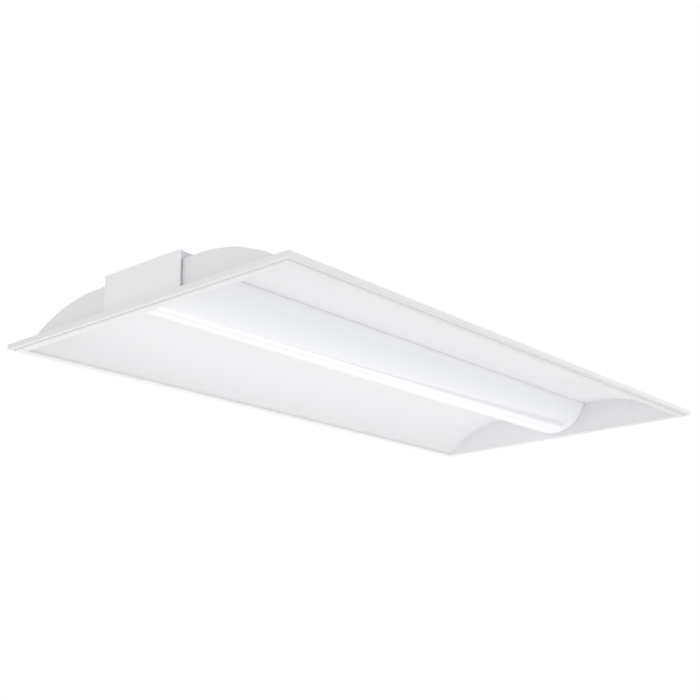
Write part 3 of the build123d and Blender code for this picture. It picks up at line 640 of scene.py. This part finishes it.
def lathe(mesh, place, profile, segments=24):
    chain = [mesh.verts.new((place[0] + profile[0][0], place[1], place[2] + profile[0][1]))]
    for radius, height in profile[1:]:
        chain.append(lineTo(mesh, chain[-1], (place[0] + radius, place[1], place[2] + height)))
    edges = [edge for edge in mesh.edges if edge.verts[0] in chain and edge.verts[1] in chain]
    bmesh.ops.spin(
        mesh, geom=chain + edges, cent=place, axis=(0, 0, 1), angle=2 * pi, steps=segments, use_merge=True
    )


def closeUp(mesh):
    bmesh.ops.remove_doubles(mesh, verts=mesh.verts[:], dist=speck)
    bmesh.ops.recalc_face_normals(mesh, faces=mesh.faces[:])


# Hex screws with a washer face and a cross recess; a set may have its own values in place of these
screw = {
    "body": "housing",
    "finish": "zincPlate",
    "slot": "zinc_hardware",
    "length": 0.0055,
    "ring": 0.0,
    "ringRounding": (0.0002, 0.0001, 0.94),
    "shank": 0.002,
    "point": 0.4,
    "tip": 0.0012,
    "washer": 0.004,
    "washerHeight": 0.0007,
    "washerRounding": (0.6, 0.95),
    "collar": 0.8,
    "sink": 0.9,
    "hexHeight": 0.0015,
    "hexCorner": 0.0034,
    "recessReach": 0.0018,
    "recessHalf": 0.0004,
    "recessDepth": 0.0011,
}
screwSets = [
    {
        "name": "channelScrews", "node": "channel_screws",
        "places": [(x, y, 0.07415) for x in (-0.5254, -0.17513, 0.17513, 0.5254) for y in (-0.0715, 0.0715)],
    },
    {"name": "driverScrews", "node": "driver_screws", "places": [(-0.075, 0.0, 0.04855), (0.2442, 0.0, 0.04855)]},
    {
        "name": "coverScrew", "node": "cover_screw", "body": "wiring_cover", "length": 0.0029,
        "places": [(-0.1874, 0.0, 0.075)],
    },
    {
        "name": "groundScrew", "node": "ground_screw", "length": 0.00275, "ring": 0.0012,
        "finish": "groundGreen", "slot": "ground_green", "places": [(-0.1794, -0.014, 0.04855)],
    },
]


def addScrew(mesh, place, length, ring):
    x, y, z = place
    washer, height, shank, corner = screw["washer"], screw["washerHeight"], screw["shank"], screw["hexCorner"]
    profile = [(0, -length), (shank * screw["point"], -length), (shank, screw["tip"] - length), (shank, -ring)]
    if ring:
        start, end, neck = screw["ringRounding"]
        profile += [(washer, -ring), (washer, -start), (washer * neck, -end)]
    rise, narrow = screw["washerRounding"]
    profile += [(washer, 0), (washer, height * rise), (washer * narrow, height), (corner * screw["collar"], height)]
    lathe(mesh, place, profile)
    # the hexagon and its cross recess, drawn on its top and pulled down
    reach, half = screw["recessReach"], screw["recessHalf"]
    low, high = z + height * screw["sink"], z + height + screw["hexHeight"]
    cross, rim = [], []
    for turn in range(4):
        c, s = round(cos(turn * pi / 2)), round(sin(turn * pi / 2))
        for a, b in ((reach, -half), (reach, half), (half, half)):
            cross.append(mesh.verts.new((x + a * c - b * s, y + a * s + b * c, high)))
    for step in range(12):
        out = corner * (1.0 if step % 2 else cos(pi / 6))
        angle = step * pi / 6 - atan2(half, reach)
        rim.append(mesh.verts.new((x + out * cos(angle), y + out * sin(angle), high)))
    crossEdges = [mesh.edges.new((cross[n], cross[(n + 1) % 12])) for n in range(12)]
    rimEdges = [mesh.edges.new((rim[n], rim[(n + 1) % 12])) for n in range(12)]
    bmesh.ops.bridge_loops(mesh, edges=crossEdges + rimEdges)
    drawOut(mesh, rimEdges, (0, 0, low - high))
    bmesh.ops.contextual_create(mesh, geom=drawOut(mesh, crossEdges, (0, 0, -screw["recessDepth"])))


for ownValues in screwSets:
    chosen = {**screw, **ownValues}
    mesh = bmesh.new()
    for place in chosen["places"]:
        addScrew(mesh, place, chosen["length"], chosen["ring"])
    closeUp(mesh)
    makePiece(chosen["name"], mesh, [chosen["finish"]], chosen["body"], [chosen["node"]])

# Blind rivets: a domed head under each tray wing, a rolled tail on the channel
rivets = {
    "places": [(x, y) for x in (-0.4254, -0.1418, 0.1418, 0.4254) for y in (-0.0715, 0.0715)],
    "low": 0.07175,
    "high": 0.07415,
    "shank": 0.0016,
    "head": (0.003, 0.0014),
    "tail": (0.0024, 0.0012),
    "hollow": 0.0008,
    "headDepth": 0.4,
    "tailDepth": 0.3,
}


def makeRivets():
    mesh = bmesh.new()
    thick = rivets["high"] - rivets["low"]
    (wide, drop), (tail, rise) = rivets["head"], rivets["tail"]
    hollow = rivets["hollow"]
    under, above = -drop * rivets["headDepth"], thick + rise * rivets["tailDepth"]
    profile = [(0, under), (hollow, under), (hollow, -drop)]
    turns = [n * pi / 12 for n in range(1, 7)]
    profile += [(hollow + (wide - hollow) * sin(turn), -drop * cos(turn)) for turn in turns]
    profile += [(rivets["shank"], 0), (rivets["shank"], thick), (tail, thick)]
    profile += [(tail * cos(n * pi / 10), thick + rise * sin(n * pi / 10)) for n in range(1, 4)]
    profile += [(hollow, thick + rise), (hollow, above), (0, above)]
    for x, y in rivets["places"]:
        lathe(mesh, (x, y, rivets["low"]), profile)
    closeUp(mesh)
    makePiece("trayRivets", mesh, ["zincPlate"], "housing", ["tray_rivets"])


makeRivets()
print("fasteners made")

# Lamp boards' parts: chips with a sunk window of phosphor, and push-in connectors
flank = {
    "place": (0.037, 0.05875),
    "angle": 45.0,
    "boardSheet": 0.0012,
    "start": 0.004,
    "length": 0.5674,
    "chips": 36,
    "chipSide": 0.003,
    "chipHeight": 0.0007,
    "window": 0.0004,
    "windowDepth": 0.00012,
    "windowSlope": 0.0001,
    "connectorAlong": -0.006,
    "connectorSize": (0.0066, 0.004),
    "connectorRounding": 0.0004,
    "feedX": 0.3076,
    "feedLength": 0.010,
    "feedPorts": (-0.0025, 0.0025),
    "bridgeLength": 0.018,
    "bridgePorts": (-0.006, 0.006),
    "portSide": 0.0016,
    "portPitch": 0.24,
    "portProud": 0.00002,
    "portDepth": 0.0004,
}


def ontoFlank(mesh, side):
    turn = Matrix.Rotation(radians(flank["angle"]), 4, "X")
    bmesh.ops.transform(mesh, matrix=Matrix.Translation((0, *flank["place"])) @ turn, verts=mesh.verts[:])
    if side < 0:
        flip(mesh, 1)


def makeChips(side):
    mesh = bmesh.new()
    half = flank["chipSide"] / 2
    top = -flank["boardSheet"]
    pitch = flank["length"] / flank["chips"]
    for end in (-1, 1):
        for n in range(flank["chips"]):
            x = end * (flank["start"] + pitch * (n + 0.5))
            faces = addBox(mesh, (x - half, -half, top - flank["chipHeight"]), (x + half, half, top))
            under = [min(faces, key=lambda face: face.calc_center_median().z)]
            bmesh.ops.inset_region(mesh, faces=under, thickness=flank["window"], depth=0.0)
            bmesh.ops.inset_region(mesh, faces=under, thickness=flank["windowSlope"], depth=-flank["windowDepth"])
            under[0].material_index = 1
    ontoFlank(mesh, side)
    word = "Left" if side > 0 else "Right"
    node = "led_chips_" + word.lower()
    makePiece("lampChips" + word, mesh, ["chipFrame", "phosphor"], "housing", [node])


def addConnector(mesh, x, length, ports):
    wide, tall = flank["connectorSize"]
    low = -flank["boardSheet"] - tall
    y = flank["connectorAlong"]
    near, far = (x - length / 2, y - wide / 2, low), (x + length / 2, y + wide / 2, low + tall)
    addBox(mesh, near, far, 0, flank["connectorRounding"])
    half = flank["portSide"] / 2
    # port mouths: near-black boxes, painted shade standing in for the holes that leads go into
    for step in (-1, 1):
        for mouth in ports:
            middle = (x + mouth, y + step * wide * flank["portPitch"])
            near, far = ([part + way * half for part in middle] for way in (-1, 1))
            addBox(mesh, near + [low - flank["portProud"]], far + [low + flank["portDepth"]], 1)


def makeConnectors():
    mesh = bmesh.new()
    for side in (-1, 1):
        half = bmesh.new()
        addConnector(half, flank["feedX"], flank["feedLength"], flank["feedPorts"])
        addConnector(half, 0.0, flank["bridgeLength"], flank["bridgePorts"])
        ontoFlank(half, side)
        joinInto(mesh, half)
    finishes = ["connectorNylon", "bushingNylonAndPortShade"]
    makePiece("boardConnectors", mesh, finishes, "housing", ["board_connectors"])


for side in (1, -1):
    makeChips(side)
makeConnectors()
print("lamp parts made")

# Driver in a folded can, its terminals and the push-in connectors
driver = {
    "low": (-0.0654, -0.019, 0.04735),
    "high": (0.2346, 0.019, 0.07035),
    "lid": 0.0075,
    "lidStep": 0.0005,
    "lidOverlap": 0.001,
    "canRounding": 0.001,
    "lidRounding": 0.0012,
    "tab": (0.016, 0.012, 0.0012),
    "tabInside": 0.004,
    "tabCorner": 0.003,
}


def makeDriver():
    mesh = bmesh.new()
    (x0, y0, z0), (x1, y1, z1) = driver["low"], driver["high"]
    step, seam = driver["lidStep"], z1 - driver["lid"]
    top = seam + driver["lidOverlap"]
    addBox(mesh, (x0 + step, y0 + step, z0), (x1 - step, y1 - step, top), 0, driver["canRounding"])
    addBox(mesh, (x0, y0, seam), (x1, y1, z1), 0, driver["lidRounding"])
    long, half, thick = driver["tab"]
    for end, x in ((-1, x0), (1, x1)):
        tip = x + end * long
        ends = sorted((x - end * driver["tabInside"], tip))
        plate = bmesh.new()
        addBox(plate, (ends[0], -half, z0), (ends[1], half, z0 + thick))
        corners = [edge for edge in plate.edges if abs(edge.verts[0].co.z - edge.verts[1].co.z) > thick / 2]
        fold(plate, [edge for edge in corners if abs(edge.verts[0].co.x - tip) < hair], driver["tabCorner"], 5)
        joinInto(mesh, plate)
    makePiece("driverCan", mesh, ["driverPaint"], "housing", ["driver"])


# Terminals on the driver's ends: supply leads on the near one, lamp leads on the far one
terminals = {
    "depth": 0.008,
    "half": 0.014,
    "z": (0.05335, 0.06535),
    "rounding": 0.0005,
    "leadZ": 0.05935,
    "supplyPorts": ((-0.007, 0.0, 0.007), 0.00115),
    "lampPorts": ((-0.009, -0.005, 0.005, 0.009), 0.00095),
    "portSize": 1.25,
    "portDepth": 0.0001,
    "buttonX": (0.003, 0.006),
    "buttonHalf": 0.0014,
    "buttonHeight": 0.0008,
    "buttonRounding": 0.0003,
}


def makeTerminals():
    mesh = bmesh.new()
    half, (low, high), skin = terminals["half"], terminals["z"], terminals["portDepth"]
    ends = ((-1, driver["low"][0], terminals["supplyPorts"]), (1, driver["high"][0], terminals["lampPorts"]))
    for way, x, (places, radius) in ends:
        face = x + way * (terminals["depth"] - skin)
        start, stop = sorted((x, face))
        addBox(mesh, (start, -half, low), (stop, half, high), 0, terminals["rounding"])
        start, stop = sorted((face, face + way * skin))
        radius *= terminals["portSize"]
        under, over = terminals["leadZ"] - radius, terminals["leadZ"] + radius
        # port mouths: near-black squares, painted shade standing in for the holes that the leads go into
        for y in places:
            addBox(mesh, (start, y - radius, under), (stop, y + radius, over), 1)
        start, stop = sorted(x + way * part for part in terminals["buttonX"])
        wide, under = terminals["buttonHalf"], high - terminals["buttonHeight"]
        for y in places:
            addBox(mesh, (start, y - wide, under), (stop, y + wide, high), 2, terminals["buttonRounding"])
    finishes = ["connectorNylon", "bushingNylonAndPortShade", "connectorOrange"]
    makePiece("driverTerminals", mesh, finishes, "housing", ["driver_terminals"])


# Push-in connectors in two parts, a coloured back and a pale front
wireConnectors = {
    "x": (-0.1554, -0.1354),
    "places": (-0.014, 0.0, 0.014),
    "half": 0.0045,
    "z": (0.04735, 0.06035),
    "split": 0.55,
    "overlap": 0.002,
    "step": 0.0004,
    "rounding": 0.0012,
}


def makeWireConnectors():
    mesh = bmesh.new()
    (start, end), (low, high) = wireConnectors["x"], wireConnectors["z"]
    half, step, rounding = wireConnectors["half"], wireConnectors["step"], wireConnectors["rounding"]
    middle = start + (end - start) * wireConnectors["split"]
    under = middle - wireConnectors["overlap"]
    for y in wireConnectors["places"]:
        addBox(mesh, (start, y - half, low), (middle, y + half, high), 1, rounding)
        addBox(mesh, (under, y - half + step, low), (end, y + half - step, high - step), 0, rounding)
    finishes = ["connectorOrange", "connectorNylon"]
    makePiece("wireConnectors", mesh, finishes, "housing", ["wire_connectors"])


makeDriver()
makeTerminals()
makeWireConnectors()
print("driver made")

# Floor far below the light, as in a room, and a plain white surrounding
studio = {
    "floorZ": -1.6,
    "floorRadius": 6.0,
    "floorColor": shade(0.8, 0.8, 0.8),
    "floorCloud": 1.03,
    "floorCloudScale": 3.0,
    "floorRough": 0.9,
    "floorMirrored": 0.92,
    "worldLight": 0.8,
    # cards that only the glossy parts reflect; their glow runs from the near end to where x is faded
    "mirroredZ": -0.5,
    "mirrored": [
        {
            "name": "tube", "near": (-0.35, 0.635), "far": (1.7, 0.215), "nearHalf": 0.07, "farHalf": 0.1,
            "nearGlow": 6.0, "farGlow": 1.15, "faded": 1.0,
        },
        {
            "name": "screen", "near": (0.15, 0.44), "far": (1.9, -0.06), "nearHalf": 0.015, "farHalf": 0.19,
            "nearGlow": 0.0, "farGlow": 0.0, "faded": 1.9,
        },
    ],
    "lamps": [
        {"name": "lampBelow", "place": (0.2, 0.62, -1.4), "aim": (0.0, 0.0, 0.0), "size": 2.2, "power": 15.5},
        {"name": "lampCamera", "place": (-2.4, -0.9, -0.6), "aim": (0.0, 0.0, 0.0), "size": 1.8, "power": 5.5},
        {"name": "lampAbove", "place": (1.3, -1.8, 0.9), "aim": (0.3, 0.0, 0.0), "size": 1.8, "power": 13.0},
    ],
}


def showSurface(tree, shaderOutput):
    tree.links.new(shaderOutput, tree.nodes["Material Output"].inputs["Surface"])


def makeMirrored(card):
    mesh = bmesh.new()
    ends = [(card["near"], card["nearHalf"]), (card["far"], card["farHalf"])]
    corners = ends + [(place, -half) for place, half in reversed(ends)]
    mesh.faces.new([mesh.verts.new((x, y + half, studio["mirroredZ"])) for (x, y), half in corners])
    tree = newMaterial(card["name"] + "Glow")[0]
    along = addNode(tree, "ShaderNodeSeparateXYZ", {"Vector": coordinates(tree)}).outputs["X"]
    strength = mapRange(tree, along, card["near"][0], card["faded"], card["nearGlow"], card["farGlow"])
    showSurface(tree, addNode(tree, "ShaderNodeEmission", {"Strength": strength}).outputs[0])
    made = makeObject(card["name"], mesh, [card["name"] + "Glow"])
    made.visible_camera = made.visible_diffuse = made.visible_transmission = made.visible_shadow = False


def makeFloor():
    mesh = bmesh.new()
    bmesh.ops.create_circle(mesh, cap_ends=True, segments=64, radius=studio["floorRadius"])
    bmesh.ops.translate(mesh, vec=(0, 0, studio["floorZ"]), verts=mesh.verts[:])
    tree, shader = newMaterial("floorPaint", Roughness=studio["floorRough"])
    cloud = noise(tree, coordinates(tree), studio["floorCloudScale"], 3.0)
    pale = studio["floorColor"]
    color = mixColor(tree, cloud, pale, tuple(min(1.0, part * studio["floorCloud"]) for part in pale))
    tree.links.new(color, shader.inputs["Base Color"])
    # glossy and transmitted rays see the floor as bright as the surrounding
    seen = addNode(tree, "ShaderNodeLightPath").outputs
    mirrored = calc(tree, "MAXIMUM", seen["Is Glossy Ray"], seen["Is Transmission Ray"])
    glow = addNode(tree, "ShaderNodeEmission", {"Color": shade(1.0, 1.0, 1.0), "Strength": studio["floorMirrored"]})
    mixed = addNode(tree, "ShaderNodeMixShader", {0: mirrored, 1: shader.outputs[0], 2: glow.outputs[0]})
    showSurface(tree, mixed.outputs[0])
    makeObject("floor", mesh, ["floorPaint"])


# The surrounding is plain white to the eye and in reflections, and dimmer as a light
def makeSurrounding():
    world = bpy.data.worlds.new("surrounding")
    scene.world = world
    world.use_nodes = True
    tree = world.node_tree
    seen = addNode(tree, "ShaderNodeLightPath").outputs
    direct = calc(tree, "MAXIMUM", seen["Is Camera Ray"], seen["Is Glossy Ray"])
    direct = calc(tree, "MAXIMUM", direct, seen["Is Transmission Ray"])
    background = tree.nodes["Background"]
    background.inputs["Color"].default_value = shade(1.0, 1.0, 1.0)
    tree.links.new(mapRange(tree, direct, 0.0, 1.0, studio["worldLight"], 1.0), background.inputs["Strength"])


def makeLamp(lamp):
    data = bpy.data.lights.new(lamp["name"], "AREA")
    data.energy = lamp["power"]
    data.size = lamp["size"]
    light = bpy.data.objects.new(lamp["name"], data)
    scene.collection.objects.link(light)
    light.visible_camera = False
    light.visible_glossy = False
    aim = Vector(lamp["aim"]) - Vector(lamp["place"])
    turn = aim.to_track_quat("-Z", "Y").to_matrix().to_4x4()
    light.matrix_world = Matrix.Translation(lamp["place"]) @ turn


makeFloor()
for card in studio["mirrored"]:
    makeMirrored(card)
makeSurrounding()
for lamp in studio["lamps"]:
    makeLamp(lamp)
print("studio made")
